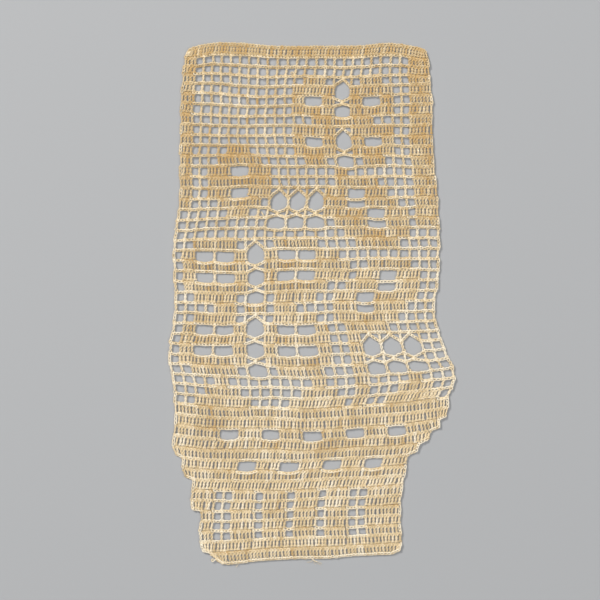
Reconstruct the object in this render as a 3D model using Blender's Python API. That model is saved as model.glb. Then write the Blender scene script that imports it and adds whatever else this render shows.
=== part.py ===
"""Filet crochet table runner: one piece of cotton crochet, lying flat, face up.

The cloth is worked in rows across its width, from the top edge (+Y) down to the
narrow end (-Y). A chart says what each mesh of each row is: a solid block, an
open window, half of a bar or half of a lacet. The knots where row lines and
posts cross follow a short table of sections, so the solid is as wide, as bowed
and as uneven as the cloth, and the gaps of the chart are cut through it.
"""

from collections import namedtuple

import bmesh
import bpy
from mathutils import Vector, noise

# ---------------------------------------------------------------- sizes (metres)

MESHES = 26
ROWS = 50
ROW_HEIGHT = 0.00731
THICKNESS = 0.0016

# Width that each kind of mesh takes up in its row before the row is drawn out
# between the two edges: a block of trebles is wider than a mesh with a chain.
BLOCK, WINDOW, BAR, LACET_LEFT, LACET_RIGHT, OUTSIDE = "#", ".", "=", "/", "\\", " "
MESH_WIDTH = {
    BLOCK: 0.0076,
    OUTSIDE: 0.0076,
    WINDOW: 0.0067,
    BAR: 0.0066,
    LACET_LEFT: 0.0066,
    LACET_RIGHT: 0.0066,
}
# How much the rows around a row line count in where its posts stand.
ROWS_FELT = {-3: 1, -2: 2, -1: 3, 0: 3, 1: 2, 2: 1}

POST_HALF = 0.00085  # half the width of a post beside a gap
CHAIN_HALF = 0.00105  # half the height of a chain between two gaps
BAR_SAG = 0.0016  # how far a bar's free chain bows down past its row line
LACET_PULL = 0.0019  # how much further a lacet's apex draws the bar above it down
LACET_ROOF = 0.0031  # from a lacet's row line down to the gap under its apex
LACET_SHOULDER = 0.0012  # from the row line under a lacet to where its arms end
GAP_CORNER = 0.0008  # how much is cut off each corner of a gap
LEAST_GAP = 0.004  # narrower gaps stay closed

COTTON = (0.672, 0.533, 0.337, 1.0)  # ecru
COTTON_ROUGHNESS = 0.85

EDGE_BULGE = 0.0004  # how far a row's end stands out between its two row lines
STEP_RADIUS = 0.0034  # rounding where a row ends before its neighbour
STEP_PULL = 0.0017  # how far such a corner is drawn in, and up
STRAIGHT_ON = 2.4  # a corner of the outline that is wider than this (radians) stays
LONGEST_CUT = 0.45  # a corner takes at most this share of its shorter side
CORNER_PULL = 0.0048  # how far the two top corners are drawn down
CORNER_INWARDS = 0.35  # and inwards, as a share of that
CORNER_MESHES = 1.9  # reach of that pull, across and down
CORNER_ROWS = 2.6

WAVE = 0.0011  # long unevenness of rows and posts, and its length in meshes
WAVE_MESHES = 4.2
JITTER = 0.00042  # unevenness from one mesh to the next, and its length
JITTER_MESHES = 1.15
WANDER_LAYER = 37.3  # how far apart the noise is read for a knot's two directions

# Where the cloth's edges run, and how far a row line rises above its level
# place at the left edge, in the middle and at the right edge. The edges are
# those of a row of all MESHES meshes, also where the row itself is shorter.
Section = namedtuple("Section", "row left right lift_left lift_middle lift_right")
SECTIONS = (
    Section(0, -0.0892, 0.0830, 0.0000, -0.0048, -0.0010),
    Section(4, -0.0900, 0.0832, 0.0004, -0.0026, -0.0002),
    Section(10, -0.0910, 0.0842, 0.0005, -0.0006, 0.0000),
    Section(16, -0.0922, 0.0880, -0.0004, 0.0003, 0.0006),
    Section(21, -0.0960, 0.0892, -0.0008, 0.0004, 0.0012),
    Section(26, -0.0944, 0.0860, 0.0000, -0.0004, 0.0020),
    Section(30, -0.0992, 0.0922, 0.0012, -0.0010, 0.0042),
    Section(33, -0.0964, 0.1000, 0.0016, -0.0014, 0.0060),
    Section(35, -0.0950, 0.0954, 0.0018, -0.0016, 0.0066),
    Section(37, -0.0948, 0.0962, 0.0018, -0.0015, 0.0066),
    Section(39, -0.0968, 0.0984, 0.0016, -0.0012, 0.0064),
    Section(43, -0.0980, 0.0925, 0.0004, 0.0000, 0.0050),
    Section(47, -0.0998, 0.0916, -0.0012, 0.0026, 0.0056),
    Section(50, -0.0990, 0.0926, -0.0032, 0.0040, 0.0070),
)

# ------------------------------------------------------------------------ chart

BLOSSOM = (
    ".####./\\.####.",
    "#====#==#====#",
    "######/\\######",
    "#====#==#====#",
    "######/\\######",
    ".####.==.####.",
    "...##.##.##...",
    ".####./\\.####.",
    "#====#==#====#",
    "######/\\######",
    "#====#==#====#",
    "######/\\######",
    ".####.==.####.",
)
LEAF = (
    "  .####.",
    "..##==##",
    ".###==##",
    "##==####",
    "##==###.",
    "######..",
    ".####.  ",
)
ROSETTE = (
    ".##./\\.##.",
    "####==####",
    "#==#/\\#==#",
    "####==####",
    "..######..",
    "####/\\####",
    "#==#==#==#",
    "####/\\####",
    ".##.==.##.",
)
BUD = (
    "..##..",
    ".####.",
    "##==##",
    "######",
    "##==##",
    ".####.",
    "..##..",
)
TRELLIS = (
    "/\\/\\/\\",
    "======",
    "/\\/\\/\\",
    "======",
)

Motif = namedtuple("Motif", "chart mesh row turned")
MOTIFS = (
    Motif(ROSETTE, 12, 3, False),
    Motif(BLOSSOM, 1, 19, False),
    Motif(LEAF, 15, 13, True),
    Motif(BUD, 3, 10, False),
    Motif(LEAF, 16, 21, False),
    Motif(TRELLIS, 9, 14, False),
    Motif(TRELLIS, 18, 28, False),
)

# Solid bands and stalks: first and last mesh, first and last row.
Band = namedtuple("Band", "mesh last_mesh row last_row")
BANDS = (
    Band(0, 25, 0, 0),
    Band(0, 0, 0, 15),
    Band(24, 25, 0, 17),
    Band(16, 16, 12, 13),
    Band(14, 15, 20, 20),
    Band(15, 16, 21, 22),
    Band(17, 17, 28, 34),
    Band(0, 25, 35, 49),
)

PANEL_TOP = 35  # row where the solid panel starts
PEAK_MESHES = 9  # width of one peak of its upper edge
PEAK_ROWS = 3
BAR_ROWS = {37: (4, 8, 12, 16, 20), 40: (6, 10, 14, 18)}  # row: first meshes of its bars
END_GAPS = (4, 5, 8, 11, 14, 17, 18)  # meshes left open in the narrow end
END_ROWS = (43, 47)

# Meshes that a row lacks at its two sides, from the row where that starts.
Short = namedtuple("Short", "row left right")
SHORTER = (
    Short(0, 0, 0),
    Short(37, 0, 1),
    Short(38, 0, 2),
    Short(39, 0, 3),
    Short(40, 1, 4),
    Short(42, 2, 4),
    Short(45, 3, 4),
    Short(49, 4, 4),
)


def turned(chart):
    """The chart as seen from the back, with its lacets still the right way."""
    swap = {LACET_LEFT: LACET_RIGHT, LACET_RIGHT: LACET_LEFT}
    return tuple("".join(swap.get(mark, mark) for mark in reversed(line)) for line in chart)


def meshes_of(row):
    """The row's first mesh and the mesh after its last one."""
    short = [step for step in SHORTER if step.row <= row][-1]
    return short.left, MESHES - short.right


def charted():
    """The whole chart as a list of rows of marks, from the top edge down."""
    marks = [[WINDOW] * MESHES for _ in range(ROWS)]
    for motif in MOTIFS:
        lines = turned(motif.chart) if motif.turned else motif.chart
        for down, line in enumerate(lines):
            for across, mark in enumerate(line):
                if mark != OUTSIDE:
                    marks[motif.row + down][motif.mesh + across] = mark
    for band in BANDS:
        for row in range(band.row, band.last_row + 1):
            for mesh in range(band.mesh, band.last_mesh + 1):
                marks[row][mesh] = BLOCK
    for mesh in range(MESHES):
        from_peak = abs(mesh % PEAK_MESHES - PEAK_MESHES // 2)
        for row in range(PANEL_TOP - max(0, PEAK_ROWS - from_peak), PANEL_TOP):
            marks[row][mesh] = BLOCK
    for row, firsts in BAR_ROWS.items():
        for first in firsts:
            marks[row][first : first + 2] = [BAR, BAR]
    for row in range(END_ROWS[0], END_ROWS[1] + 1):
        for mesh in END_GAPS:
            marks[row][mesh] = WINDOW
    for row in range(ROWS):
        first, end = meshes_of(row)
        for mesh in range(MESHES):
            if not first <= mesh < end:
                marks[row][mesh] = OUTSIDE
    return marks


# ------------------------------------------------------------------------ knots


def section_value(name, row):
    """A column of SECTIONS at any row, as a smooth curve through its values."""
    upper = max(k for k in range(len(SECTIONS) - 1) if SECTIONS[k].row <= row)
    before, start, end, after = (
        SECTIONS[min(max(upper + k, 0), len(SECTIONS) - 1)] for k in (-1, 0, 1, 2)
    )
    span = end.row - start.row
    t = (row - start.row) / span
    first, last = getattr(start, name), getattr(end, name)
    slope_in = (last - getattr(before, name)) / max(end.row - before.row, 1) * span
    slope_out = (getattr(after, name) - first) / max(after.row - start.row, 1) * span
    return (
        first * (2 * t**3 - 3 * t**2 + 1)
        + slope_in * (t**3 - 2 * t**2 + t)
        + last * (3 * t**2 - 2 * t**3)
        + slope_out * (t**3 - t**2)
    )


def shares_across(marks, line):
    """How far across its line each post stands, from 0 to 1, from the meshes near it."""
    widths = []
    for mesh in range(MESHES):
        total = 0.0
        for offset, weight in ROWS_FELT.items():
            row = min(max(line + offset, 0), ROWS - 1)
            total += weight * MESH_WIDTH[marks[row][mesh]]
        widths.append(total)
    whole = sum(widths)
    return [sum(widths[:mesh]) / whole for mesh in range(MESHES + 1)]


def wander(post, line, size, length):
    """How far a knot strays from its place, smoothly from one knot to the next."""
    at = Vector((post, line, 0)) / length
    aside = Vector((0, 0, WANDER_LAYER))
    return size * Vector((noise.noise(at + aside), noise.noise(at + 2 * aside), 0))


def knots(marks):
    """Where each post meets each row line: knots[line][post], lying flat."""
    found = []
    for line in range(ROWS + 1):
        left, right = section_value("left", line), section_value("right", line)
        rise = [section_value(name, line) for name in ("lift_left", "lift_middle", "lift_right")]
        row_of_knots = []
        for post, share in enumerate(shares_across(marks, line)):
            lift = (
                rise[0] * (1 - share) * (1 - 2 * share)
                + rise[1] * 4 * share * (1 - share)
                + rise[2] * share * (2 * share - 1)
            )
            knot = Vector((left + (right - left) * share, lift - line * ROW_HEIGHT, 0))
            knot += wander(post, line, WAVE, WAVE_MESHES)
            knot += wander(post, line, JITTER, JITTER_MESHES)
            for side, reach in ((1, post), (-1, MESHES - post)):
                pull = CORNER_PULL * 2.0 ** (
                    -((reach / CORNER_MESHES) ** 2) - (line / CORNER_ROWS) ** 2
                )
                knot += Vector((CORNER_INWARDS * side * pull, -pull, 0))
            row_of_knots.append(Vector((knot.x, knot.y)))
        found.append(row_of_knots)
    draw_in_steps(found)
    return found


def draw_in_steps(net):
    """Draws in the corner knots of each row that reaches further than the row below it."""
    for row in range(ROWS):
        ends = meshes_of(row)
        ends_below = meshes_of(row + 1) if row + 1 < ROWS else (None, None)
        for end, end_below, inwards in zip(ends, ends_below, (1, -1)):
            if end != end_below:
                net[row + 1][end] += Vector((inwards * STEP_PULL, STEP_PULL))


def place(net, across, down):
    """A point of the cloth at any measure across (in meshes) and down (in rows)."""
    post = min(max(int(across), 0), MESHES - 1)
    line = min(max(int(down), 0), ROWS - 1)
    s, t = across - post, down - line
    upper = net[line][post].lerp(net[line][post + 1], s)
    lower = net[line + 1][post].lerp(net[line + 1][post + 1], s)
    return upper.lerp(lower, t)


# --------------------------------------------------------------------- outlines


def without_corners(points, cut):
    """The closed outline with each corner cut off, cut along both of its sides."""
    found = []
    for k, corner in enumerate(points):
        for other in (points[k - 1], points[(k + 1) % len(points)]):
            side = other - corner
            found.append(corner + side * min(cut / side.length, LONGEST_CUT))
    return found


def rounded_steps(points, radius):
    """The closed outline with its sharp corners turned into short arcs."""
    found = []
    for k, corner in enumerate(points):
        before = points[k - 1] - corner
        after = points[(k + 1) % len(points)] - corner
        if before.angle(after) > STRAIGHT_ON:
            found.append(corner)
            continue
        start = corner + before * min(radius / before.length, LONGEST_CUT)
        end = corner + after * min(radius / after.length, LONGEST_CUT)
        for t in (0.0, 0.5, 1.0):
            found.append(start * (1 - t) ** 2 + corner * (2 * t * (1 - t)) + end * t**2)
    return found


def side_points(net, left):
    """One side edge from the top down: each row's end bulges a little, and steps in."""
    found = []
    outwards = -1 if left else 1
    for row in range(ROWS):
        post = meshes_of(row)[0 if left else 1]
        post_below = meshes_of(row + 1)[0 if left else 1] if row + 1 < ROWS else None
        stand_out = Vector((outwards * POST_HALF, 0))
        upper, lower = net[row][post] + stand_out, net[row + 1][post] + stand_out
        found.append(upper)
        if post_below == post:
            found.append((upper + lower) / 2 + Vector((outwards * EDGE_BULGE, 0)))
        else:
            found.append(lower)
    return found


def cloth_outline(net):
    """The outer edge: top edge, right side, bottom edge and left side."""
    rise = Vector((0, CHAIN_HALF))
    top = [net[0][post] + rise for post in range(1, MESHES)]
    first, end = meshes_of(ROWS - 1)
    bottom = [net[ROWS][post] - rise for post in range(end - 1, first, -1)]
    right = side_points(net, left=False)
    left = side_points(net, left=True)
    return rounded_steps(top + right + bottom + left[::-1], STEP_RADIUS)


def gap_box(net, mesh, row, wide, high, sag=0.0):
    """A gap that is wide meshes across and high rows down, inside its posts and chains."""
    post = POST_HALF / MESH_WIDTH[WINDOW]
    chain = CHAIN_HALF / ROW_HEIGHT
    low = row + high - chain + sag / ROW_HEIGHT
    corners = (
        (mesh + post, row + chain),
        (mesh + wide - post, row + chain),
        (mesh + wide - post, low),
        (mesh + post, low),
    )
    return [place(net, across, down) for across, down in corners]


def lacet_gap(net, mesh, row, drawn_down):
    """The house-shaped gap under a lacet: its two arms above, the next row's bar below."""
    post = POST_HALF / MESH_WIDTH[BAR]
    bottom = row + 2 - (CHAIN_HALF - BAR_SAG) / ROW_HEIGHT
    shoulder = row + 1 + LACET_SHOULDER / ROW_HEIGHT
    corners = [
        (mesh + 1, row + LACET_ROOF / ROW_HEIGHT),
        (mesh + 2 - post, shoulder),
        (mesh + 2 - post, bottom),
        (mesh + post, bottom),
        (mesh + post, shoulder),
    ]
    if drawn_down:
        corners.insert(3, (mesh + 1, bottom + LACET_PULL / ROW_HEIGHT))
    return [place(net, across, down) for across, down in corners]


def width_of(points):
    """The narrower of a gap's two sizes."""
    wide = max(p.x for p in points) - min(p.x for p in points)
    high = max(p.y for p in points) - min(p.y for p in points)
    return min(wide, high)


def gaps(marks, net):
    """The outline of every gap that is cut through.

    Lacets and bars come first. In the even net, four windows that lie in a
    square are one gap of twice the pitch, and the windows left are cut singly.
    """
    found = []
    used = set()
    for row in range(ROWS):
        for mesh in range(MESHES):
            mark = marks[row][mesh]
            if (mesh, row) in used:
                continue
            if mark == LACET_LEFT:
                drawn_down = row + 2 < ROWS and marks[row + 2][mesh] == LACET_LEFT
                found.append(lacet_gap(net, mesh, row, drawn_down))
                used.update({(mesh, row), (mesh + 1, row), (mesh, row + 1), (mesh + 1, row + 1)})
            elif mark == BAR:
                found.append(gap_box(net, mesh, row, 2, 1, BAR_SAG))
                used.update({(mesh, row), (mesh + 1, row)})
    for row in range(ROWS - 1):
        for mesh in range(MESHES - 1):
            square = [(mesh + across, row + down) for across in (0, 1) for down in (0, 1)]
            if all(marks[r][m] == WINDOW and (m, r) not in used for m, r in square):
                found.append(gap_box(net, mesh, row, 2, 2))
                used.update(square)
    for row in range(ROWS):
        for mesh in range(MESHES):
            if marks[row][mesh] == WINDOW and (mesh, row) not in used:
                found.append(gap_box(net, mesh, row, 1, 1))
    return [without_corners(gap, GAP_CORNER) for gap in found if width_of(gap) > LEAST_GAP]


# ------------------------------------------------------------------------ solid


def cotton():
    """Ecru mercerised cotton, matt and slightly yellowed."""
    material = bpy.data.materials.new("ecru_cotton")
    material.use_nodes = True
    shader = material.node_tree.nodes["Principled BSDF"]
    shader.inputs["Base Color"].default_value = COTTON
    shader.inputs["Roughness"].default_value = COTTON_ROUGHNESS
    shader.inputs["Metallic"].default_value = 0.0
    return material


def add_outline(curve, points):
    """Adds one closed outline to the flat curve."""
    spline = curve.splines.new("POLY")
    spline.points.add(len(points) - 1)
    for target, point in zip(spline.points, points):
        target.co = (point.x, point.y, 0.0, 1.0)
    spline.use_cyclic_u = True


def make_runner(collection):
    """The runner as one flat solid: its outline with every gap cut through."""
    marks = charted()
    net = knots(marks)
    outline = cloth_outline(net)
    low = Vector((min(p.x for p in outline), min(p.y for p in outline)))
    high = Vector((max(p.x for p in outline), max(p.y for p in outline)))
    middle = (low + high) / 2

    curve = bpy.data.curves.new("runner_outline", "CURVE")
    curve.dimensions = "2D"
    curve.fill_mode = "BOTH"
    curve.extrude = THICKNESS / 2
    for points in [outline] + gaps(marks, net):
        add_outline(curve, [point - middle for point in points])
    flat = bpy.data.objects.new("runner_outline", curve)
    collection.objects.link(flat)
    bpy.context.view_layer.update()

    evaluated = flat.evaluated_get(bpy.context.evaluated_depsgraph_get())
    mesh = bpy.data.meshes.new_from_object(evaluated)
    mesh.name = "runner"
    bpy.data.objects.remove(flat)
    shape = bmesh.new()
    shape.from_mesh(mesh)
    bmesh.ops.remove_doubles(shape, verts=shape.verts, dist=1e-6)
    bmesh.ops.recalc_face_normals(shape, faces=shape.faces)
    shape.to_mesh(mesh)
    shape.free()
    mesh.materials.clear()
    mesh.materials.append(cotton())

    runner = bpy.data.objects.new("runner", mesh)
    runner.location = (0.0, 0.0, THICKNESS / 2)
    collection.objects.link(runner)
    return runner


def main():
    for thing in list(bpy.data.objects):
        bpy.data.objects.remove(thing, do_unlink=True)
    collection = bpy.data.collections.new("filet_crochet_runner")
    bpy.context.scene.collection.children.link(collection)
    make_runner(collection)


main()
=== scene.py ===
"""Dresses the filet crochet table runner in its real stitches.

Every treble, chain stitch and lacet of the chart is a length of cotton thread, and so
are a few loose ends. The chart and the knots of its net are those of the solid runner,
so each stitch lies where the solid has it. The cloth is made as five strips side by
side, each one mesh of thread, and every stitch belongs whole to one of them.
"""

import math
import random
from collections import namedtuple

import bpy
import numpy as np
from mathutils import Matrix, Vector, noise


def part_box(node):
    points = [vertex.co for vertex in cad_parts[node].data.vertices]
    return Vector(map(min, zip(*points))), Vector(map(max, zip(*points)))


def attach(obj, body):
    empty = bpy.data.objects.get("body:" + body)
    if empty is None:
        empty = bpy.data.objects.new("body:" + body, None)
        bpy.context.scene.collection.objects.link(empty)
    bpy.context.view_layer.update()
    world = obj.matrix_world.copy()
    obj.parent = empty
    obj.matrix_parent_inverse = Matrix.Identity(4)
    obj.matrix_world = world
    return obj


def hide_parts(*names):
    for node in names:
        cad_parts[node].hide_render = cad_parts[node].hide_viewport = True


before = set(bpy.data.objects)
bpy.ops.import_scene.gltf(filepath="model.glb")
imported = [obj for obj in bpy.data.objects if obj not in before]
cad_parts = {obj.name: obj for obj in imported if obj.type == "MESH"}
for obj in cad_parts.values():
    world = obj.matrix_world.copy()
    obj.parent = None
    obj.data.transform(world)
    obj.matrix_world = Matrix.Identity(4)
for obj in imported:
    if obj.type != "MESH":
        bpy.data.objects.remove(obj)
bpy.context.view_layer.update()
RUNNER_LOW, RUNNER_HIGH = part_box("runner")

bl_info = {
    "name": "Filet Crochet Runner",
    "version": (1, 0, 0),
    "blender": (4, 5, 0),
    "location": "3D View > Sidebar > Crochet",
    "description": "Works a filet crochet runner stitch by stitch from its chart",
    "category": "Object",
}

# ---- sizes (metres)

MESHES = 26  # in a full row
ROWS = 50
ROW_HEIGHT = 0.00731
STRIPS = 5  # the cloth is made as so many strips side by side

# Width that each kind of mesh takes up in its row before the row is drawn out
# between the two edges: a block of trebles is wider than a mesh with a chain.
BLOCK, WINDOW, BAR, LACET_LEFT, LACET_RIGHT, OUTSIDE = "#", ".", "=", "/", "\\", " "
MESH_WIDTH = {
    BLOCK: 0.0076,
    OUTSIDE: 0.0076,
    WINDOW: 0.0067,
    BAR: 0.0066,
    LACET_LEFT: 0.0066,
    LACET_RIGHT: 0.0066,
}
# How much the rows around a row line count in where its posts stand.
ROWS_FELT = {-3: 1, -2: 2, -1: 3, 0: 3, 1: 2, 2: 1}

POST_HALF = 0.00085  # half the width of a post beside a gap
CHAIN_HALF = 0.00105  # half the height of a chain between two gaps
BAR_SAG = 0.0016  # how far a bar's free chain bows down past its row line
LACET_PULL = 0.0019  # how much further a lacet's apex draws the bar above it down
WINDOW_SAG = 0.0003  # how far the short chain over a window bows down

EDGE_BULGE = 0.0004  # how far a row's end stands out between its two row lines
STEP_RADIUS = 0.0034  # rounding where a row ends before its neighbour
STEP_PULL = 0.0017  # how far such a corner is drawn in, and up
STRAIGHT_ON = 2.4  # a corner of the outline that is wider than this (radians) stays
LONGEST_CUT = 0.45  # a corner takes at most this share of its shorter side
CORNER_PULL = 0.0048  # how far the two top corners are drawn down
CORNER_INWARDS = 0.35  # and inwards, as a share of that
CORNER_MESHES = 1.9  # reach of that pull, across and down
CORNER_ROWS = 2.6

WAVE = 0.0011  # long unevenness of rows and posts, and its length in meshes
WAVE_MESHES = 4.2
JITTER = 0.00042  # unevenness from one mesh to the next, and its length
JITTER_MESHES = 1.15
WANDER_LAYER = 37.3  # how far apart the noise is read for a knot's two directions

SAME_SIZE = 0.0003  # how closely the chart's outline has to fit the solid's

# Where the cloth's edges run, and how far a row line rises above its level
# place at the left edge, in the middle and at the right edge. The edges are
# those of a row of all MESHES meshes, also where the row itself is shorter.
Section = namedtuple("Section", "row left right lift_left lift_middle lift_right")
SECTIONS = (
    Section(0, -0.0892, 0.0830, 0.0000, -0.0048, -0.0010),
    Section(4, -0.0900, 0.0832, 0.0004, -0.0026, -0.0002),
    Section(10, -0.0910, 0.0842, 0.0005, -0.0006, 0.0000),
    Section(16, -0.0922, 0.0880, -0.0004, 0.0003, 0.0006),
    Section(21, -0.0960, 0.0892, -0.0008, 0.0004, 0.0012),
    Section(26, -0.0944, 0.0860, 0.0000, -0.0004, 0.0020),
    Section(30, -0.0992, 0.0922, 0.0012, -0.0010, 0.0042),
    Section(33, -0.0964, 0.1000, 0.0016, -0.0014, 0.0060),
    Section(35, -0.0950, 0.0954, 0.0018, -0.0016, 0.0066),
    Section(37, -0.0948, 0.0962, 0.0018, -0.0015, 0.0066),
    Section(39, -0.0968, 0.0984, 0.0016, -0.0012, 0.0064),
    Section(43, -0.0980, 0.0925, 0.0004, 0.0000, 0.0050),
    Section(47, -0.0998, 0.0916, -0.0012, 0.0026, 0.0056),
    Section(50, -0.0990, 0.0926, -0.0032, 0.0040, 0.0070),
)

# ---- chart

PETALS = (
    ".####./\\.####.",
    "#====#==#====#",
    "######/\\######",
    "#====#==#====#",
    "######/\\######",
    ".####.==.####.",
)
BLOSSOM = (*PETALS, "...##.##.##...", *PETALS)
LEAF = (
    "  .####.",
    "..##==##",
    ".###==##",
    "##==####",
    "##==###.",
    "######..",
    ".####.  ",
)
ROSETTE = (
    ".##./\\.##.",
    "####==####",
    "#==#/\\#==#",
    "####==####",
    "..######..",
    "####/\\####",
    "#==#==#==#",
    "####/\\####",
    ".##.==.##.",
)
BUD = (
    "..##..",
    ".####.",
    "##==##",
    "######",
    "##==##",
    ".####.",
    "..##..",
)
TRELLIS = ("/\\/\\/\\", "======") * 2

Motif = namedtuple("Motif", "chart mesh row turned")
MOTIFS = (
    Motif(ROSETTE, 12, 3, False),
    Motif(BLOSSOM, 1, 19, False),
    Motif(LEAF, 15, 13, True),
    Motif(BUD, 3, 10, False),
    Motif(LEAF, 16, 21, False),
    Motif(TRELLIS, 9, 14, False),
    Motif(TRELLIS, 18, 28, False),
)

# Solid bands and stalks: first and last mesh, first and last row.
Band = namedtuple("Band", "mesh last_mesh row last_row")
BANDS = (
    Band(0, 25, 0, 0),
    Band(0, 0, 0, 15),
    Band(24, 25, 0, 17),
    Band(16, 16, 12, 13),
    Band(14, 15, 20, 20),
    Band(15, 16, 21, 22),
    Band(17, 17, 28, 34),
    Band(0, 25, 35, 49),
)

PANEL_TOP = 35  # row where the solid panel starts
PEAK_MESHES = 9  # width of one peak of its upper edge
PEAK_ROWS = 3
BAR_ROWS = {37: (4, 8, 12, 16, 20), 40: (6, 10, 14, 18)}  # row: first meshes of its bars
END_GAPS = (4, 5, 8, 11, 14, 17, 18)  # meshes left open in the narrow end
END_ROWS = (43, 47)

# Meshes that a row lacks at its two sides, from the row where that starts.
Short = namedtuple("Short", "row left right")
SHORTER = (
    Short(0, 0, 0),
    Short(37, 0, 1),
    Short(38, 0, 2),
    Short(39, 0, 3),
    Short(40, 1, 4),
    Short(42, 2, 4),
    Short(45, 3, 4),
    Short(49, 4, 4),
)


def turned(chart):
    """The chart as seen from the back, with its lacets still the right way."""
    swap = {LACET_LEFT: LACET_RIGHT, LACET_RIGHT: LACET_LEFT}
    return tuple("".join(swap.get(mark, mark) for mark in reversed(line)) for line in chart)


def meshes_of(row):
    """The row's first mesh and the mesh after its last one."""
    short = [step for step in SHORTER if step.row <= row][-1]
    return short.left, MESHES - short.right


def charted():
    """The whole chart as a list of rows of marks, from the top edge down."""
    marks = [[WINDOW] * MESHES for _ in range(ROWS)]
    for motif in MOTIFS:
        lines = turned(motif.chart) if motif.turned else motif.chart
        for down, line in enumerate(lines):
            for across, mark in enumerate(line):
                if mark != OUTSIDE:
                    marks[motif.row + down][motif.mesh + across] = mark
    for band in BANDS:
        for row in range(band.row, band.last_row + 1):
            for mesh in range(band.mesh, band.last_mesh + 1):
                marks[row][mesh] = BLOCK
    for mesh in range(MESHES):
        from_peak = abs(mesh % PEAK_MESHES - PEAK_MESHES // 2)
        for row in range(PANEL_TOP - max(0, PEAK_ROWS - from_peak), PANEL_TOP):
            marks[row][mesh] = BLOCK
    for row, firsts in BAR_ROWS.items():
        for first in firsts:
            marks[row][first : first + 2] = [BAR, BAR]
    for row in range(END_ROWS[0], END_ROWS[1] + 1):
        for mesh in END_GAPS:
            marks[row][mesh] = WINDOW
    for row in range(ROWS):
        first, end = meshes_of(row)
        for mesh in range(MESHES):
            if not first <= mesh < end:
                marks[row][mesh] = OUTSIDE
    return marks


# ---- knots


def smooth(start, slope_in, end, slope_out, t):
    """A point of the smooth curve from a start to an end that has those slopes there."""
    return (
        start * (2 * t**3 - 3 * t**2 + 1)
        + slope_in * (t**3 - 2 * t**2 + t)
        + end * (3 * t**2 - 2 * t**3)
        + slope_out * (t**3 - t**2)
    )


def section_value(name, row):
    """A column of SECTIONS at any row, as a smooth curve through its values."""
    upper = max(k for k in range(len(SECTIONS) - 1) if SECTIONS[k].row <= row)
    before, start, end, after = (
        SECTIONS[min(max(upper + k, 0), len(SECTIONS) - 1)] for k in (-1, 0, 1, 2)
    )
    span = end.row - start.row
    first, last = getattr(start, name), getattr(end, name)
    slope_in = (last - getattr(before, name)) / max(end.row - before.row, 1) * span
    slope_out = (getattr(after, name) - first) / max(after.row - start.row, 1) * span
    return smooth(first, slope_in, last, slope_out, (row - start.row) / span)


def shares_across(marks, line):
    """How far across its line each post stands, from 0 to 1, from the meshes near it."""
    widths = []
    for mesh in range(MESHES):
        total = 0.0
        for offset, weight in ROWS_FELT.items():
            row = min(max(line + offset, 0), ROWS - 1)
            total += weight * MESH_WIDTH[marks[row][mesh]]
        widths.append(total)
    whole = sum(widths)
    return [sum(widths[:mesh]) / whole for mesh in range(MESHES + 1)]


def wander(post, line, size, length):
    """How far a knot strays from its place, smoothly from one knot to the next."""
    at = Vector((post, line, 0)) / length
    aside = Vector((0, 0, WANDER_LAYER))
    return size * Vector((noise.noise(at + aside), noise.noise(at + 2 * aside), 0))


def knots(marks):
    """Where each post meets each row line: knots[line][post], lying flat."""
    found = []
    for line in range(ROWS + 1):
        left, right = section_value("left", line), section_value("right", line)
        rise = [section_value(name, line) for name in ("lift_left", "lift_middle", "lift_right")]
        row_of_knots = []
        for post, share in enumerate(shares_across(marks, line)):
            lift = (
                rise[0] * (1 - share) * (1 - 2 * share)
                + rise[1] * 4 * share * (1 - share)
                + rise[2] * share * (2 * share - 1)
            )
            knot = Vector((left + (right - left) * share, lift - line * ROW_HEIGHT, 0))
            knot += wander(post, line, WAVE, WAVE_MESHES)
            knot += wander(post, line, JITTER, JITTER_MESHES)
            for side, reach in ((1, post), (-1, MESHES - post)):
                pull = CORNER_PULL * 2.0 ** (
                    -((reach / CORNER_MESHES) ** 2) - (line / CORNER_ROWS) ** 2
                )
                knot += Vector((CORNER_INWARDS * side * pull, -pull, 0))
            row_of_knots.append(Vector((knot.x, knot.y)))
        found.append(row_of_knots)
    draw_in_steps(found)
    return found


def draw_in_steps(net):
    """Draws in the corner knots of each row that reaches further than the row below it."""
    for row in range(ROWS):
        ends = meshes_of(row)
        ends_below = meshes_of(row + 1) if row + 1 < ROWS else (None, None)
        for end, end_below, inwards in zip(ends, ends_below, (1, -1)):
            if end != end_below:
                net[row + 1][end] += Vector((inwards * STEP_PULL, STEP_PULL))


def place(net, across, down):
    """A point of the cloth at any measure across (in meshes) and down (in rows)."""
    post = min(max(int(across), 0), MESHES - 1)
    line = min(max(int(down), 0), ROWS - 1)
    s, t = across - post, down - line
    upper = net[line][post].lerp(net[line][post + 1], s)
    lower = net[line + 1][post].lerp(net[line + 1][post + 1], s)
    return upper.lerp(lower, t)


def rounded_steps(points, radius):
    """The closed outline with its sharp corners turned into short arcs."""
    found = []
    for k, corner in enumerate(points):
        before = points[k - 1] - corner
        after = points[(k + 1) % len(points)] - corner
        if before.angle(after) > STRAIGHT_ON:
            found.append(corner)
            continue
        start = corner + before * min(radius / before.length, LONGEST_CUT)
        end = corner + after * min(radius / after.length, LONGEST_CUT)
        for t in (0.0, 0.5, 1.0):
            found.append(start * (1 - t) ** 2 + corner * (2 * t * (1 - t)) + end * t**2)
    return found


def side_points(net, left):
    """One side edge from the top down: each row's end bulges a little, and steps in."""
    found = []
    outwards = -1 if left else 1
    for row in range(ROWS):
        post = meshes_of(row)[0 if left else 1]
        post_below = meshes_of(row + 1)[0 if left else 1] if row + 1 < ROWS else None
        stand_out = Vector((outwards * POST_HALF, 0))
        upper, lower = net[row][post] + stand_out, net[row + 1][post] + stand_out
        found.append(upper)
        if post_below == post:
            found.append((upper + lower) / 2 + Vector((outwards * EDGE_BULGE, 0)))
        else:
            found.append(lower)
    return found


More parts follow.
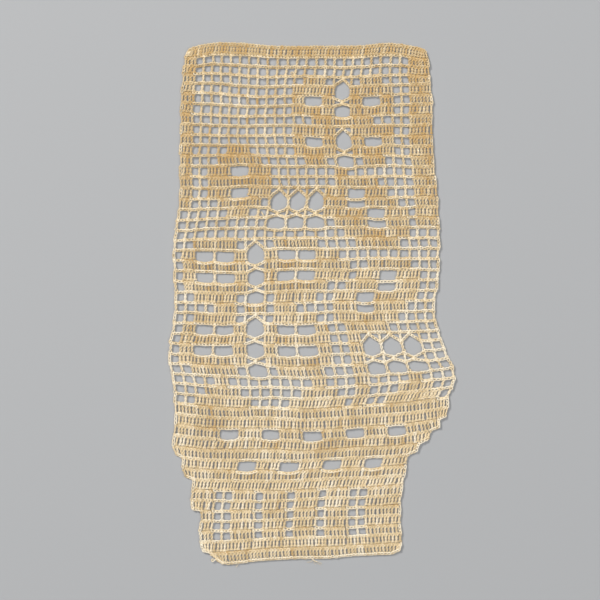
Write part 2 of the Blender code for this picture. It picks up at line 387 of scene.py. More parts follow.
def cloth_outline(net):
    """The outer edge: top edge, right side, bottom edge and left side."""
    rise = Vector((0, CHAIN_HALF))
    top = [net[0][post] + rise for post in range(1, MESHES)]
    first, end = meshes_of(ROWS - 1)
    bottom = [net[ROWS][post] - rise for post in range(end - 1, first, -1)]
    right = side_points(net, left=False)
    left = side_points(net, left=True)
    return rounded_steps(top + right + bottom + left[::-1], STEP_RADIUS)


def net_middle(net):
    """The middle of the outline's box, which is where the solid has its origin."""
    outline = cloth_outline(net)
    low = Vector((min(p.x for p in outline), min(p.y for p in outline)))
    high = Vector((max(p.x for p in outline), max(p.y for p in outline)))
    off = (high - low) - (RUNNER_HIGH - RUNNER_LOW).xy
    if max(abs(off.x), abs(off.y)) > SAME_SIZE:
        raise RuntimeError("the chart's outline isn't the size of the packed runner")
    at = (RUNNER_LOW + RUNNER_HIGH) / 2
    return (low + high) / 2 - Vector((at.x, at.y))


# ---- courses of the thread

THREAD_RADIUS = 0.00045
THREAD_SIDES = 4
UNEVENNESS = 0.00030  # how far the thread strays from its even course
UNEVENNESS_SCALE = 260.0  # how soon it does, as the scale of a noise
SEED = 7
PER_MESH = 3  # trebles in a block, and chain stitches over a mesh

# One leg of a treble from its head up to its base: how far down the row, how far
# aside and how far forward. The other leg is its mirror image, turned about.
Turn = namedtuple("Turn", "down aside forward")
LEG = (
    Turn(1.00, -0.00040, 0.00000),
    Turn(0.93, -0.00098, 0.00005),
    Turn(0.73, -0.00022, 0.00022),
    Turn(0.57, 0.00046, 0.00024),
    Turn(0.43, 0.00046, -0.00012),
    Turn(0.29, -0.00020, -0.00024),
    Turn(0.10, -0.00098, -0.00006),
)
LOOP_HALF, LOOP_RISE = 0.00030, 0.00050  # the top of the loop round the chain
# The short wraps that cross a treble, each at its own place down the row: one round
# its waist, and one that fills the loop which lies at a crease of the cloth.
WRAPS_DOWN = (0.50, 0.90)
TURNED_WRAPS_DOWN = (0.50, 0.14)
WRAP = (
    Turn(0.05, -0.00056, -0.00004),
    Turn(0.00, 0.00000, 0.00056),
    Turn(-0.05, 0.00056, -0.00004),
)
LINK_POINTS = 8  # a chain stitch: the points of its loop
LINK_HALF_LENGTH = 0.00142
LINK_HALF_WIDTH = 0.00046
LINK_FULL = 0.30  # how much wider a chain stitch is at its head
LINK_RISE = 0.00022  # how far its head stands over its tail

# Loose ends and frayed fibres: how thick each is to the whole thread, and its route
# over the cloth (metres from its middle and up from the table).
LooseEnd = namedtuple("LooseEnd", "share route")
CURLED_TAIL = (
    (-0.0664, -0.1783, 0.0009), (-0.0682, -0.1795, 0.0012), (-0.0693, -0.1805, 0.0010),
    (-0.0702, -0.1799, 0.0007), (-0.0699, -0.1788, 0.0007), (-0.0689, -0.1790, 0.0009),
)
LONE_FIBRE = (
    (-0.0510, -0.1803, 0.0010), (-0.0515, -0.1820, 0.0008),
    (-0.0523, -0.1834, 0.0006), (-0.0533, -0.1845, 0.0005),
)
FRAYED_END = (
    (-0.0008, -0.1776, 0.0010), (0.0006, -0.1790, 0.0011),
    (0.0020, -0.1801, 0.0010), (0.0034, -0.1806, 0.0008),
)
FRAYED_FIBRES = (
    ((0.0026, -0.1804, 0.0009), (0.0046, -0.1808, 0.0008), (0.0068, -0.1819, 0.0005)),
    ((0.0024, -0.1803, 0.0009), (0.0040, -0.1817, 0.0007), (0.0062, -0.1830, 0.0004)),
    ((0.0014, -0.1797, 0.0009), (0.0016, -0.1814, 0.0006), (0.0028, -0.1829, 0.0004)),
    ((0.0008, -0.1791, 0.0009), (-0.0012, -0.1808, 0.0006), (-0.0034, -0.1809, 0.0004)),
)
TAIL_IN_GAP = (
    (-0.0334, 0.0598, 0.0010), (-0.0340, 0.0615, 0.0012),
    (-0.0347, 0.0629, 0.0010), (-0.0355, 0.0641, 0.0008),
)
CURL_IN_GAP = (
    (-0.0122, 0.1594, 0.0010), (-0.0127, 0.1610, 0.0013), (-0.0137, 0.1620, 0.0011),
    (-0.0148, 0.1614, 0.0008), (-0.0143, 0.1604, 0.0008), (-0.0133, 0.1605, 0.0009),
)
LOOSE_ENDS = (
    LooseEnd(0.90, CURLED_TAIL),
    LooseEnd(0.40, LONE_FIBRE),
    LooseEnd(0.80, FRAYED_END),
    LooseEnd(0.32, FRAYED_FIBRES[0]),
    *(LooseEnd(0.28, route) for route in FRAYED_FIBRES[1:]),
    LooseEnd(0.95, TAIL_IN_GAP),
    LooseEnd(0.75, CURL_IN_GAP),
)
ROUTE_STEPS = 4  # pieces of thread between two points of a route


def add_course(curve, points, closed=False, share=1.0):
    """Adds one course of thread to a curve, as thick as its share of the whole thread."""
    spline = curve.splines.new("POLY")
    spline.points.add(len(points) - 1)
    for target, point in zip(spline.points, points):
        target.co = (*point, 1.0)
        target.radius = share
    spline.use_cyclic_u = closed


def course_object(name, courses):
    """A curve object that holds courses of thread: points, closed or not, share."""
    curve = bpy.data.curves.new(name, "CURVE")
    curve.dimensions = "3D"
    for one in courses:
        add_course(curve, *one)
    return bpy.data.objects.new(name, curve)


def smooth_route(route):
    """Points along a smooth curve through a route's points."""
    found = []
    for k in range(len(route) - 1):
        before, start = Vector(route[max(k - 1, 0)]), Vector(route[k])
        end, after = Vector(route[k + 1]), Vector(route[min(k + 2, len(route) - 1)])
        slope_in, slope_out = (end - before) / 2, (after - start) / 2
        for step in range(ROUTE_STEPS):
            found.append(smooth(start, slope_in, end, slope_out, step / ROUTE_STEPS))
    found.append(Vector(route[-1]))
    return found


def turning_points(turns, down=0.0):
    """Turns as points in a treble's own frame, moved down by a share of the row."""
    return [Vector((turn.aside, -(turn.down + down) * ROW_HEIGHT, turn.forward)) for turn in turns]


def treble_courses(wraps_down):
    """A treble: up one leg, round the chain and down the other, with its wraps."""
    leg = turning_points(LEG)
    other = [Vector((-point.x, point.y, -point.z)) for point in reversed(leg)]
    top = [Vector((-LOOP_HALF, LOOP_RISE, 0)), Vector((LOOP_HALF, LOOP_RISE, 0))]
    wraps = [(turning_points(WRAP, down), False) for down in wraps_down]
    return [(leg + top + other, False)] + wraps


def link_courses():
    """A chain stitch: a closed drop-shaped loop, its head at +X over the next one's tail.

    The loop starts at the tail, where the stitch before covers it.
    """
    points = []
    for k in range(LINK_POINTS):
        angle = math.pi + 2 * math.pi * k / LINK_POINTS
        along, aside = math.cos(angle), math.sin(angle)
        width = LINK_HALF_WIDTH * (1 + LINK_FULL * along)
        points.append(Vector((LINK_HALF_LENGTH * along, width * aside, LINK_RISE * along)))
    return [(points, True)]


# ---- where stitches go

Span = namedtuple("Span", "mark mesh wide")
TREBLE, TURNED_TREBLE, LINK = 0, 1, 2  # kinds of stitch
# A stitch's tone runs from pale (below 0) to golden (above 0).
Stitch = namedtuple("Stitch", "kind place turn stretch tone")

CLOTH_MIDDLE = 0.00086  # height of a stitch's middle over the table
# How a chain lies: rolled, slanted, how wide, how far up from its row line, how
# high over the cloth's middle, and its tone.
Lay = namedtuple("Lay", "roll slant width lift rise tone")
# the crease chain's golden tone is painted shade in the groove along the crease
CREASE = Lay(0.10, 0.0, 1.30, -0.00025, -0.00040, 0.25)  # every second row line, in solid stitches
RIDGE = Lay(0.15, 0.42, 1.75, 0.0, 0.00010, 0.0)  # the lines between
# the free chains' pale tone is the thread's own paler cream and, in part, a painted highlight on
# the rims of the gaps
FREE = Lay(0.40, 0.0, 1.68, 0.0, 0.0, -0.50)  # beside gaps, in lacets and up the edges
CREASE_HEADS = 0.00075  # how far over a crease its row's trebles end
CREASE_BASES = 0.00075  # how far under it the next row's trebles start
TREBLE_PITCH = 0.00253  # room of a treble that is worked to full width
TIGHT_TOP = 0.16  # how much wider the top rows' trebles are, so that they lie closer
TIGHT_BORDER = 0.18  # and those of the border
BORDER_MESHES = 2
CORNER_TUCK = 0.0017  # how far the stitches of the four corners are drawn in
RIGHT_FOOT_TUCK = 0.2  # how much of that the squarer right foot has
EDGE_CHAIN = 0.20  # how far inside the edge (in meshes) a row's first chain stitch lies
POST_WIDE = 1.08  # how wide a lone post is, where a treble worked to full width is 1
NARROWEST, WIDEST = 0.92, 1.24  # how much trebles differ in width
OVER_CHAIN = 0.00045  # how much higher a treble reaches that is worked over a free chain
LEAN = 0.00022  # how far a row's trebles lean, the other way in each next row
SLIP = 0.00022  # stray of single stitches
TWIST = 0.03  # and how far they turn (radians)
LACET_TIE = 0.0016  # length of the stitch that ties a lacet's arms to the row above
ARM_LINKS = 4  # chain stitches in each arm
NEARBY = 0.1  # how far to both sides (in meshes) the way of a row line is measured
GOLD_COMB = 0.45  # tone of the trebles worked over a bar
# the lone posts' pale tone is the thread's own paler cream and, in part, a painted highlight on
# the rims of the gaps
PALE_POST = -0.45  # of lone posts
PALE_END = -0.60  # of loose ends
TONE_STRAY = 0.26  # and how far single stitches differ


def spans_of(marks, row):
    """The row as spans from left to right: a block, a window, a bar or a lacet each."""
    mesh, end = meshes_of(row)
    found = []
    while mesh < end:
        mark = marks[row][mesh]
        span = Span(mark, mesh, 1 if mark in (BLOCK, WINDOW) else 2)
        found.append(span)
        mesh += span.wide
    return found


class Cloth:
    """The chart with its net, and where the thread of each row runs."""

    def __init__(self):
        self.marks = charted()
        self.net = knots(self.marks)
        self.middle = net_middle(self.net)
        self.spans = [spans_of(self.marks, row) for row in range(ROWS)]

    def span_at(self, row, across):
        """The span of a row at a measure across, or None outside it."""
        if 0 <= row < ROWS:
            for span in self.spans[row]:
                if span.mesh <= across < span.mesh + span.wide:
                    return span
        return None

    def tuck(self, line, across):
        """How far a point near one of the cloth's four corners is drawn in."""
        if line not in (0, ROWS):
            return Vector((0, 0))
        first, end = meshes_of(min(line, ROWS - 1))
        left, right = max(0, 1 - (across - first)), max(0, 1 - (end - across))
        if line:
            right *= RIGHT_FOOT_TUCK
        return CORNER_TUCK * Vector((left - right, (1 if line else -1) * (left + right)))

    def on_line(self, line, across):
        """A point of a row line, where the chain of the row above it hangs."""
        point = place(self.net, across, line) - self.middle + self.tuck(line, across)
        span = self.span_at(line - 1, across)
        if span is None or span.mark == BLOCK:
            return point
        share = (across - span.mesh) / span.wide
        bow = 4 * share * (1 - share)
        if span.mark == WINDOW:
            return point - Vector((0, WINDOW_SAG * bow))
        dip = BAR_SAG * math.sqrt(bow)
        below = self.span_at(line, across)
        if below is not None and below.mark == LACET_LEFT:
            dip += LACET_PULL * (1 - abs(2 * share - 1))
        return point - Vector((0, dip))

    def pitch(self, line, across):
        """The room that one treble has at a place on a row line."""
        near = place(self.net, max(across - 0.5, 0), line)
        far = place(self.net, min(across + 0.5, MESHES), line)
        return (far - near).length / PER_MESH


def heading(vector):
    """The angle of a flat vector from +X."""
    return math.atan2(vector.y, vector.x)


def spot(point, dice, rise=0.0):
    """A stitch's place: a point of the net, a little astray, at its height."""
    return Vector(
        (
            point.x + dice.gauss(0, SLIP / 2),
            point.y + dice.gauss(0, SLIP / 2),
            CLOTH_MIDDLE + rise + dice.uniform(-SLIP / 3, SLIP / 3),
        )
    )


def treble(base, head, row, width, tone, dice):
    """One treble from its base down to its head. Every second row shows its back."""
    way = head - base
    turned_over = row % 2 == 1
    return Stitch(
        TURNED_TREBLE if turned_over else TREBLE,
        spot(base, dice),
        (
            dice.gauss(0, TWIST / 2),
            math.pi * turned_over + dice.gauss(0, TWIST),
            heading(way) + math.pi / 2 + dice.gauss(0, TWIST / 4),
        ),
        (width * dice.uniform(NARROWEST, WIDEST), way.length / ROW_HEIGHT, 1.0),
        tone + dice.gauss(0, TONE_STRAY),
    )


def link(point, way, lay, dice):
    """One chain stitch at a point, along a way."""
    return Stitch(
        LINK,
        spot(point + Vector((0, lay.lift)), dice, lay.rise),
        (lay.roll + dice.gauss(0, TWIST), dice.gauss(0, TWIST / 2), heading(way) + lay.slant),
        (1.0, lay.width, 1.0),
        lay.tone + dice.gauss(0, TONE_STRAY),
    )


def straight_chain(start, end, links, dice):
    """Chain stitches in a straight run between two points."""
    way = end - start
    return [link(start + way * ((k + 0.5) / links), way, FREE, dice) for k in range(links)]


def row_posts(cloth, row):
    """Where the row's trebles stand, as measures across, each with whether it is a lone post."""
    found = []
    before = None
    for span in cloth.spans[row]:
        lone = span.mark != BLOCK and before != BLOCK
        found.append((span.mesh, lone))
        if span.mark == BLOCK:
            found += [(span.mesh + step / PER_MESH, False) for step in range(1, PER_MESH)]
        before = span.mark
    last = cloth.spans[row][-1]
    found.append((last.mesh + last.wide, last.mark != BLOCK))
    return found


def tightness(row, across):
    """How much closer than in the solid panel the trebles lie at a place of the chart."""
    tight = 1.0 + TIGHT_TOP * max(0.0, 1 - row / PANEL_TOP)
    first, end = meshes_of(row)
    from_edge = min(across - first, end - across)
    in_border = row < PANEL_TOP and from_edge < BORDER_MESHES
    if in_border or row in (0, ROWS - 1):
        tight += TIGHT_BORDER
    return tight


def row_trebles(cloth, row, dice):
    """The trebles of one row. It starts with three chain stitches in place of one."""
    posts = row_posts(cloth, row)
    turning = posts[0] if row % 2 == 0 else posts[-1]
    lean = LEAN if row % 2 else -LEAN
    found = []
    for across, lone in posts:
        base = cloth.on_line(row, across)
        head = cloth.on_line(row + 1, across) + Vector((lean + dice.gauss(0, SLIP), 0))
        if (across, lone) == turning:
            found += straight_chain(base, head, PER_MESH, dice)
            continue
        width = cloth.pitch(row + 0.5, across) / TREBLE_PITCH * tightness(row, across)
        if lone:
            width = POST_WIDE
        tone = PALE_POST if lone else 0.0
        above = cloth.span_at(row - 1, across)
        if above is not None and above.mark != BLOCK and across != above.mesh:
            base += Vector((0, OVER_CHAIN))
            if above.mark == BAR:
                tone += GOLD_COMB
        elif not lone and row % 2:
            base -= Vector((0, CREASE_BASES))
        if not lone and row % 2 == 0:
            head += Vector((0, CREASE_HEADS))
        found.append(treble(base, head, row, width, tone, dice))
    return found


def line_links(cloth, line, dice):
    """The chain stitches along a row line: the heads of the row above, and its free chain."""
    row = max(line - 1, 0)
    found = []
    for span in cloth.spans[row]:
        if span.mark in (LACET_LEFT, LACET_RIGHT) and line > 0:
            continue
        for step in range(span.wide * PER_MESH):
            across = span.mesh + (step + 0.5) / PER_MESH
            below = cloth.span_at(line, across)
            solid = span.mark == BLOCK and below is not None and below.mark == BLOCK
            lay = FREE
            if solid:
                lay = CREASE if line % 2 else RIDGE
                across = max(span.mesh + step / PER_MESH, meshes_of(row)[0] + EDGE_CHAIN)
            way = cloth.on_line(line, across + NEARBY) - cloth.on_line(line, across - NEARBY)
            if line % 2:
                way = -way
            found.append(link(cloth.on_line(line, across), way, lay, dice))
    return found


def row_lacets(cloth, row, dice):
    """The two arms of each lacet and the stitch that ties them to the row above."""
    found = []
    for span in cloth.spans[row]:
        if span.mark != LACET_LEFT:
            continue
        apex = cloth.on_line(row, span.mesh + 1)
        tip = apex - Vector((0, LACET_TIE))
        for across in (span.mesh, span.mesh + span.wide):
            foot = cloth.on_line(row + 1, across)
            found += straight_chain(foot, tip, ARM_LINKS, dice)
        found.append(treble(apex, tip, row, POST_WIDE, PALE_POST, dice))
    return found


def all_stitches(cloth):
    """Every stitch of the runner, row by row, after the foundation chain."""
    found = []
    for row in range(ROWS):
        dice = random.Random(SEED + row)
        if row == 0:
            found += line_links(cloth, 0, dice)
        found += row_trebles(cloth, row, dice)
        found += row_lacets(cloth, row, dice)
        found += line_links(cloth, row + 1, dice)
    return found


# ---- geometry nodes

MAP_MARGIN = 0.004  # room left round the flat map, as a share of its side
GROUP_INPUTS = (
    ("Points", "NodeSocketGeometry", None),
    ("Treble", "NodeSocketObject", None),
    ("Turned Treble", "NodeSocketObject", None),
    ("Chain Stitch", "NodeSocketObject", None),
    ("Loose Ends", "NodeSocketObject", None),
    ("Thread Radius", "NodeSocketFloat", THREAD_RADIUS),
    ("Thread Sides", "NodeSocketInt", THREAD_SIDES),
    ("Unevenness", "NodeSocketFloat", UNEVENNESS),
    ("Unevenness Scale", "NodeSocketFloat", UNEVENNESS_SCALE),
    ("Seed", "NodeSocketInt", SEED),
    ("Cotton", "NodeSocketMaterial", None),
)


def output_of(tree, kind, inputs=None, output=0, **settings):
    """An output of a new node. Its inputs take values, or the sockets they are wired to."""
    made = tree.nodes.new(kind)
    for name, value in settings.items():
        setattr(made, name, value)
    for name, value in (inputs or {}).items():
        if isinstance(value, bpy.types.NodeSocket):
            tree.links.new(value, made.inputs[name])
        else:
            made.inputs[name].default_value = value
    return made.outputs[output]


def calculated(tree, operation, *values):
    """The result of a Math node."""
    return output_of(tree, "ShaderNodeMath", dict(enumerate(values)), operation=operation)


def axes(tree, vector):
    """A vector's parts, by the names of their axes."""
    made = tree.nodes.new("ShaderNodeSeparateXYZ")
    tree.links.new(vector, made.inputs["Vector"])
    return made.outputs


def named(tree, name, kind):
    """The socket that reads an attribute of the geometry."""
    return output_of(tree, "GeometryNodeInputNamedAttribute", {"Name": name}, data_type=kind)


def stored(tree, geometry, name, kind, value):
    """The geometry with a value kept at each of its points."""
    inputs = {"Geometry": geometry, "Name": name, "Value": value}
    return output_of(
        tree, "GeometryNodeStoreNamedAttribute", inputs, data_type=kind, domain="POINT"
    )


def placed_courses(tree, given):
    """Every stitch's course of thread at its point, and the loose ends."""
    euler = named(tree, "turn", "FLOAT_VECTOR")
    turn = output_of(tree, "FunctionNodeEulerToRotation", {"Euler": euler})
    joined = tree.nodes.new("GeometryNodeJoinGeometry")
    kinds = ((TREBLE, "Treble"), (TURNED_TREBLE, "Turned Treble"), (LINK, "Chain Stitch"))
    for kind, name in kinds:
        both = {2: named(tree, "kind", "INT"), 3: kind}  # the inputs for whole numbers
        same = output_of(tree, "FunctionNodeCompare", both, data_type="INT", operation="EQUAL")
        course = {"Object": given[name]}
        inputs = {
            "Points": given["Points"],
            "Selection": same,
            "Instance": output_of(tree, "GeometryNodeObjectInfo", course, "Geometry"),
            "Rotation": turn,
            "Scale": named(tree, "stretch", "FLOAT_VECTOR"),
        }
        placed = output_of(tree, "GeometryNodeInstanceOnPoints", inputs)
        tree.links.new(placed, joined.inputs["Geometry"])
    loose = {"Object": given["Loose Ends"]}
    ends = output_of(tree, "GeometryNodeObjectInfo", loose, "Geometry")
    tree.links.new(stored(tree, ends, "tone", "FLOAT", PALE_END), joined.inputs["Geometry"])
    return output_of(tree, "GeometryNodeRealizeInstances", {"Geometry": joined.outputs[0]})


def strayed(tree, given, courses):
    """The courses a little astray from their even run, and none of them under the table."""
    inputs = {"W": given["Seed"], "Scale": given["Unevenness Scale"], "Detail": 1.0}
    stray = output_of(tree, "ShaderNodeTexNoise", inputs, "Color", noise_dimensions="4D")
    inputs = {0: stray, 1: (0.5,) * 3}  # as the noise runs from 0 to 1
    centred = output_of(tree, "ShaderNodeVectorMath", inputs, operation="SUBTRACT")
    inputs = {0: centred, "Scale": given["Unevenness"]}
    sized = output_of(tree, "ShaderNodeVectorMath", inputs, operation="SCALE")
    moved = output_of(tree, "GeometryNodeSetPosition", {"Geometry": courses, "Offset": sized})

    at = axes(tree, output_of(tree, "GeometryNodeInputPosition"))
    height = calculated(tree, "MAXIMUM", at["Z"], given["Thread Radius"])
    rested = output_of(tree, "ShaderNodeCombineXYZ", {"X": at["X"], "Y": at["Y"], "Z": height})
    return output_of(tree, "GeometryNodeSetPosition", {"Geometry": moved, "Position": rested})


def spun(tree, given, courses):
    """Thread along the courses, with what its material needs to know kept on it."""
    length = output_of(tree, "GeometryNodeSplineParameter", output="Length")
    courses = stored(tree, courses, "along", "FLOAT", length)
    tips = output_of(tree, "GeometryNodeCurveEndpointSelection")
    courses = stored(tree, courses, "tip", "FLOAT", tips)
    inputs = {"Resolution": given["Thread Sides"], "Radius": given["Thread Radius"]}
    circle = output_of(tree, "GeometryNodeCurvePrimitiveCircle", inputs, mode="RADIUS")
    at = output_of(tree, "GeometryNodeInputPosition")
    inputs = {
        "Curve": courses,
        "Profile Curve": stored(tree, circle, "around", "FLOAT_VECTOR", at),
        "Scale": output_of(tree, "GeometryNodeInputRadius"),
        "Fill Caps": True,
    }
    thread = output_of(tree, "GeometryNodeCurveToMesh", inputs)
    return output_of(tree, "GeometryNodeSetShadeSmooth", {"Geometry": thread})


def stitching_tree():
    """The node group that works thread courses into stitches at the points of a mesh."""
    tree = bpy.data.node_groups.new("crochet_stitches", "GeometryNodeTree")
    for name, kind, default in GROUP_INPUTS:
        socket = tree.interface.new_socket(name=name, in_out="INPUT", socket_type=kind)
        if default is not None:
            socket.default_value = default
    tree.interface.new_socket(name="Thread", in_out="OUTPUT", socket_type="NodeSocketGeometry")
    given = tree.nodes.new("NodeGroupInput").outputs
    thread = spun(tree, given, strayed(tree, given, placed_courses(tree, given)))
    real = output_of(tree, "GeometryNodeRealizeInstances", {"Geometry": thread})
    inputs = {"Geometry": real, "Material": given["Cotton"]}
    dressed = output_of(tree, "GeometryNodeSetMaterial", inputs)
    tree.links.new(dressed, tree.nodes.new("NodeGroupOutput").inputs["Thread"])
    return tree


def points_mesh(name, stitches):
    """A mesh of one point for each stitch, with how it is turned, stretched and toned."""
    mesh = bpy.data.meshes.new(name)
    mesh.from_pydata([stitch.place for stitch in stitches], [], [])
    columns = (
        ("kind", "INT", "value"),
        ("turn", "FLOAT_VECTOR", "vector"),
        ("stretch", "FLOAT_VECTOR", "vector"),
        ("tone", "FLOAT", "value"),
    )
    for column, kind, field in columns:
        values = np.ravel([getattr(stitch, column) for stitch in stitches])
        mesh.attributes.new(column, kind, "POINT").data.foreach_set(field, values)
    return mesh


def set_input(modifier, name, value):
    """Sets a modifier's input by its socket's identifier."""
    for item in modifier.node_group.interface.items_tree:
        if item.item_type == "SOCKET" and item.in_out == "INPUT" and item.name == name:
            modifier[item.identifier] = value
            return
    raise RuntimeError(f"the node group has no input {name}")


def read_all(items, field, kind=np.float32, width=1):
    """A field of every item of a mesh, in one row or in rows of that width."""
    values = np.empty(len(items) * width, kind)
    items.foreach_get(field, values)
    return values.reshape(-1, width) if width > 1 else values


def flat_map(mesh):
    """A map seen from above: the upper faces in its lower half, the lower ones in its upper."""
    layer = mesh.uv_layers.new(name="OFBake")
    places = read_all(mesh.vertices, "co", width=3)
    corners = read_all(mesh.loops, "vertex_index", np.int32)
    normals = read_all(mesh.polygons, "normal", width=3)
    below = np.repeat(normals[:, 2] < 0, read_all(mesh.polygons, "loop_total", np.int32))
    low, high = places.min(0), places.max(0)
    share = (places[corners][:, :2] - low[:2]) / (high - low)[:2]
    inner = MAP_MARGIN + share * (1 - 2 * MAP_MARGIN)
    inner[:, 1] = inner[:, 1] / 2 + below * 0.5
    layer.data.foreach_set("uv", inner.astype(np.float32).ravel())


# ---- materials

# Where the cotton has yellowed: the middle of each soft patch, its reach, how strong.
Stain = namedtuple("Stain", "x y reach strength")
STAINS = (
    Stain(-0.061, 0.107, 0.034, 0.40),
    Stain(-0.015, 0.079, 0.026, 0.35),
    Stain(0.025, -0.092, 0.030, 0.40),
    Stain(-0.078, -0.020, 0.030, 0.35),
    Stain(-0.070, -0.085, 0.022, 0.40),
)
# A grade turns a measure that runs from start to end into one from low to high. The
# first three say how golden the cotton is, above 0, or how pale, below it.
Grade = namedtuple("Grade", "start end low high")
AGEING = Grade(-0.045, 0.135, 0.0, 0.72)  # up the cloth, as its upper part has yellowed
MOTTLE = Grade(0.35, 0.75, -0.15, 0.45)  # in soft patches all over
# painted shade and highlight: golden and darker from the highest threads down to the table, paler
# on the highest threads
HEIGHT_SHADE_AND_HIGHLIGHT = Grade(0.0018, 0.0, -0.38, 0.95)  # from the highest threads down to the table
TONES = Grade(-0.6, 1.2, 0.0, 1.0)  # from a tone to its place among the colours
MOTTLE_GRAIN = {"Scale": 38.0, "Detail": 3.0, "Roughness": 0.6}
ECRU_AT, AGED_AT = 0.38, 0.64  # places of the two middle colours

PLIES = 2
PLY_TURN = 0.0021  # length of thread over which its plies wind round once
PLY_RELIEF = {"Distance": 0.00006, "Strength": 0.8}
COTTON_SHEEN = {
    "Sheen Weight": 0.22,
    "Sheen Roughness": 0.45,
    "Sheen Tint": (1.0, 0.93, 0.80, 1.0),
    "Specular IOR Level": 0.25,
}


def graded(tree, value, grade, interpolation="LINEAR"):
    """A value turned into another measure by its grade."""
    limits = zip(("From Min", "From Max", "To Min", "To Max"), grade)
    inputs = {"Value": value, **dict(limits)}
    return output_of(tree, "ShaderNodeMapRange", inputs, interpolation_type=interpolation)


def kept(tree, name, output="Fac"):
    """The socket that reads what the stitches keep on their thread."""
    return output_of(tree, "ShaderNodeAttribute", output=output, attribute_name=name)


def golden_tone(tree):
    """How golden the cotton is: its stains, age, mottle and stitch, with a painted shade low down
    towards the table and a painted highlight on the highest threads, all together.
    """
    at = output_of(tree, "ShaderNodeTexCoord", output="Object")
    tones = []
    for stain in STAINS:
        both = {0: at, 1: (stain.x, stain.y, 0.0)}
        gap = output_of(tree, "ShaderNodeVectorMath", both, "Value", operation="DISTANCE")
        grade = Grade(stain.reach, 0.0, 0.0, stain.strength)
        tones.append(graded(tree, gap, grade, "SMOOTHSTEP"))
    tones.append(graded(tree, axes(tree, at)["Y"], AGEING, "SMOOTHSTEP"))
    mottle = output_of(tree, "ShaderNodeTexNoise", {"Vector": at, **MOTTLE_GRAIN}, "Fac")
    tones.append(graded(tree, mottle, MOTTLE))
    tones.append(kept(tree, "tone"))
    # painted shade low down towards the table, and a painted highlight on the highest threads
    tones.append(graded(tree, axes(tree, at)["Z"], HEIGHT_SHADE_AND_HIGHLIGHT))
    total = tones[0]
    for tone in tones[1:]:
        total = calculated(tree, "ADD", total, tone)
    return total


def cotton_colour(tree, tone, settings):
    """The colour that belongs to a tone, from pale to golden."""
    ramp = tree.nodes.new("ShaderNodeValToRGB")
    tree.links.new(graded(tree, tone, TONES), ramp.inputs["Fac"])
    first, last = ramp.color_ramp.elements
    first.color = (*settings.pale, 1.0)
    last.color = (*settings.golden, 1.0)
    ramp.color_ramp.elements.new(ECRU_AT).color = (*settings.ecru, 1.0)
    ramp.color_ramp.elements.new(AGED_AT).color = (*settings.aged, 1.0)
    return ramp.outputs["Color"]


def plied_relief(tree):
    """The thread's plies winding round it, fading at the two ends of each course."""
    around = axes(tree, kept(tree, "around", "Vector"))
    angle = calculated(tree, "ARCTAN2", around["X"], around["Y"])
    wound = calculated(tree, "MULTIPLY", kept(tree, "along"), PLIES * 2 * math.pi / PLY_TURN)
    plies = calculated(tree, "SINE", calculated(tree, "MULTIPLY_ADD", angle, PLIES, wound))
    inner = calculated(tree, "SUBTRACT", 1.0, kept(tree, "tip"))
    relief = calculated(tree, "MULTIPLY", plies, inner)
    return output_of(tree, "ShaderNodeBump", {"Height": relief, **PLY_RELIEF}, "Normal")


def matt(name, roughness):
    """A new matt material and its shader."""
    material = bpy.data.materials.new(name)
    material.use_nodes = True
    shader = material.node_tree.nodes["Principled BSDF"]
    shader.inputs["Roughness"].default_value = roughness
    return material, shader


def ecru_cotton(settings):
    """Aged cotton thread: ecru, golden in old stains, with painted shade in its depths and a
    painted highlight on its highest threads, pale on free chains, partly as painted highlight.
    """
    material, shader = matt("ecru_cotton_thread", settings.roughness)
    for name, value in COTTON_SHEEN.items():
        shader.inputs[name].default_value = value
    tree = material.node_tree
    colour = cotton_colour(tree, golden_tone(tree), settings)
    tree.links.new(colour, shader.inputs["Base Color"])
    tree.links.new(plied_relief(tree), shader.inputs["Normal"])
    return material


# ---- properties


def length_property(name, description, default, least):
    """A length that a user can change."""
    return bpy.props.FloatProperty(
        name=name,
        description=description,
        default=default,
        min=least,
        subtype="DISTANCE",
        unit="LENGTH",
        precision=5,
    )


def colour_property(name, description, default):
    """A colour that a user can change."""
    return bpy.props.FloatVectorProperty(
        name=name, description=description, default=default, min=0.0, max=1.0, subtype="COLOR"
    )


class RunnerSettings(bpy.types.PropertyGroup):
    """Sizes and colours of the crochet that a user would change."""

    thread_radius: length_property(
        "Thread Radius", "Half the thickness of the cotton thread", THREAD_RADIUS, least=0.0001
    )
    thread_sides: bpy.props.IntProperty(
        name="Thread Sides",
        description="Sides of the thread's section",
        default=THREAD_SIDES,
        min=3,
        max=8,
    )
    unevenness: length_property(
        "Unevenness", "How far the thread strays from its even course", UNEVENNESS, least=0.0
    )
    ecru: colour_property("Ecru", "Colour of most of the cotton", (0.720, 0.580, 0.365))
    aged: colour_property(
        "Aged", "Colour of the cotton where age has dulled it", (0.585, 0.465, 0.285)
    )
    # golden also gives the painted shade in the depths of the cloth and along its creases
    golden: colour_property(
        "Golden", "Colour of the yellowed and the closely worked cotton", (0.540, 0.365, 0.160)
    )
    # pale also gives the painted highlight on the highest threads, and in part on the chains and
    # posts beside the gaps
    pale: colour_property(
        "Pale", "Colour of the washed out chains beside the gaps", (0.800, 0.720, 0.570)
    )
    roughness: bpy.props.FloatProperty(
        name="Roughness",
        description="Roughness of the cotton",
        default=0.82,
        min=0.0,
        max=1.0,
        subtype="FACTOR",
    )


class StageSettings(bpy.types.PropertyGroup):
    """The table, the light and the camera."""

    table: colour_property("Table", "Colour of the plain table", (0.315, 0.325, 0.34))
    height: length_property(
        "Camera Height", "How high the camera stands over the table", default=1.2, least=0.5
    )
    light: bpy.props.FloatProperty(
        name="Light",
        description="Power of the main light",
        default=152.0,
        min=0.0,
        subtype="POWER",
        unit="POWER",
    )


# ---- stage

